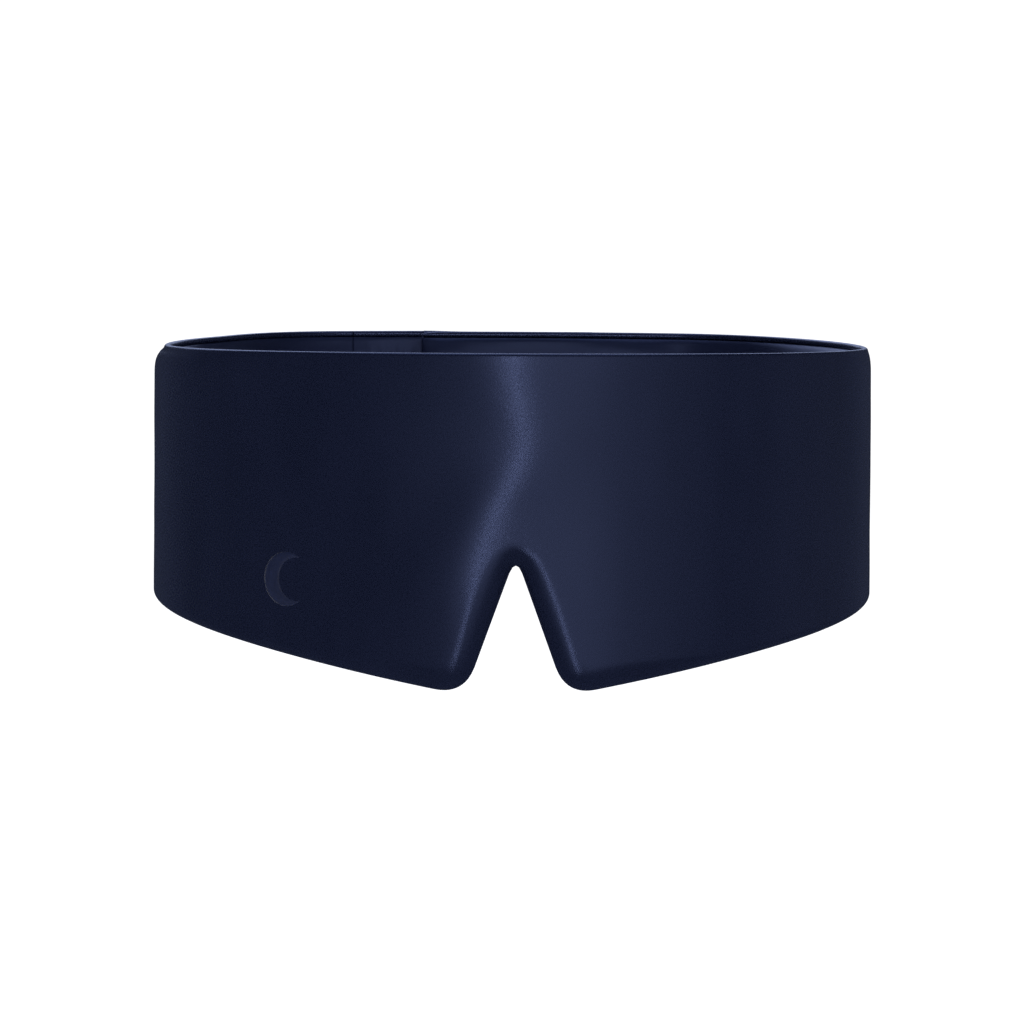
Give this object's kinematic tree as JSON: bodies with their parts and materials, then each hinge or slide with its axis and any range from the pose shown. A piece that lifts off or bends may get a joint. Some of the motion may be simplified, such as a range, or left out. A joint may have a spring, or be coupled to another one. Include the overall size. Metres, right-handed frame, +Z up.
{
  "type": "sleep eye mask",
  "caption": "Wrap-around padded sleep mask in satin with a nose notch and a hook-and-loop tab that closes the band behind the head.",
  "frame": {"origin": "on the middle line of the head opening, level with the wearer's eyes, 95 mm behind the front face", "axes": "+Z up, -Y the way the wearer looks, +X to the right of someone who looks at the front"},
  "size_m": [0.1898, 0.1863, 0.0865],
  "materials": {
    "satin": "smooth navy satin with a soft vertical sheen",
    "lining": "navy satin lining, slightly softer than the outside",
    "blackout": "matt black interlining",
    "padding": "off-white soft wadding",
    "elastic": "ribbed elastic webbing",
    "stiffener": "firm non-woven interlining",
    "loop_tape": "brushed loop tape",
    "hook_tape": "moulded hook tape",
    "thread": "lustrous polyester thread",
    "label": "woven off-white tape, blank"
  },
  "bodies": {
    "front_mask": {"front_outer_cover": "satin", "front_lining": "lining", "front_blackout_layer": "blackout", "front_padding": "padding", "embroidered_crescent": "thread"},
    "left_wing": {"left_wing_cover": "satin", "left_wing_lining": "lining", "left_wing_padding": "padding"},
    "strap_end": {"strap_elastic": "elastic", "strap_sleeve": "satin", "tab_root": "satin"},
    "closure_tab": {"tab_lining": "lining", "tab_stiffener": "stiffener", "tab_cover": "satin", "hook_patch": "hook_tape", "hook_patch_stitching": "thread"},
    "right_wing": {"right_wing_cover": "satin", "right_wing_lining": "lining", "right_wing_padding": "padding", "loop_panel": "loop_tape", "loop_panel_stitching": "thread", "care_label": "label"}
  },
  "joints": [
    {"name": "left_wing_flex", "type": "hinge", "parent": "front_mask", "child": "left_wing", "pos_m": [-0.0938, 0.01755, 0], "axis": [0, 0, 1], "range_deg": [0, 100]},
    {"name": "right_wing_flex", "type": "hinge", "parent": "front_mask", "child": "right_wing", "pos_m": [0.0938, 0.01755, 0], "axis": [0, 0, 1], "range_deg": [-50, 0]},
    {"name": "strap_stretch", "type": "slide", "parent": "left_wing", "child": "strap_end", "axis": [1, 0, 0], "range_m": [0, 0.012], "stiffness_N_per_m": 300, "deforming": ["strap_elastic", "strap_sleeve"]},
    {"name": "closure_peel", "type": "hinge", "parent": "strap_end", "child": "closure_tab", "pos_m": [-0.02185, 0.0902, 0], "axis": [0, 0, 1], "range_deg": [0, 150]}
  ],
  "couplings": [
    {"joint": "right_wing_flex", "follows": "left_wing_flex", "ratio": -0.5}
  ]
}
